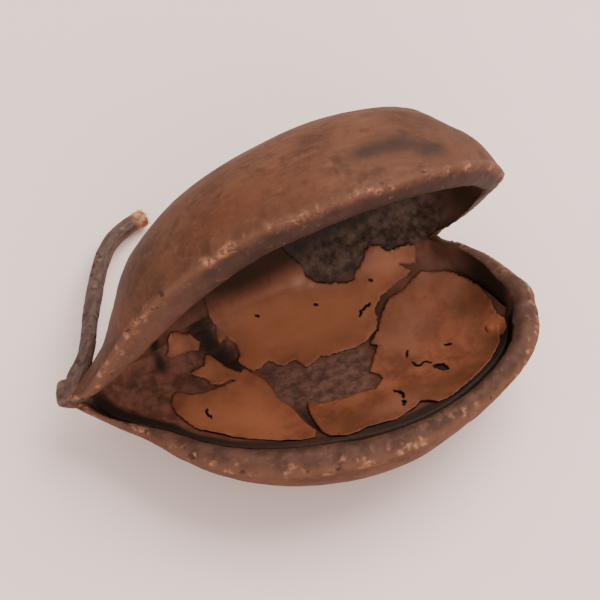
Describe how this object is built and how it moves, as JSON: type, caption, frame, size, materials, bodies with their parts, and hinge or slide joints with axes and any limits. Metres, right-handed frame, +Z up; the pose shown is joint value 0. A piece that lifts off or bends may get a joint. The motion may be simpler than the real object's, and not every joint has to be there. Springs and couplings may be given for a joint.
{
  "type": "opened woody seed pod",
  "caption": "Dry woody seed pod sprung open along one seam, with thick rims, a flaking papery lining inside and a short curved stalk, lying on its side.",
  "frame": {"origin": "on the surface the pod rests on, below the middle of its box", "axes": "+X from the stem end towards the tip, +Y from the open seam towards the back, +Z up"},
  "size_m": [0.098, 0.0862, 0.0595],
  "materials": {
    "pod_wood": "dry, matt, rough bark",
    "stalk_bark": "dry, matt bark with a torn pale end",
    "lining_skin": "papery, soft sheen"
  },
  "bodies": {
    "root": {"shell": "pod_wood", "stalk": "stalk_bark", "lining_back": "lining_skin", "lining_end": "lining_skin", "lining_front": "lining_skin", "lining_chip": "lining_skin", "lining_top": "lining_skin"}
  },
  "joints": []
}
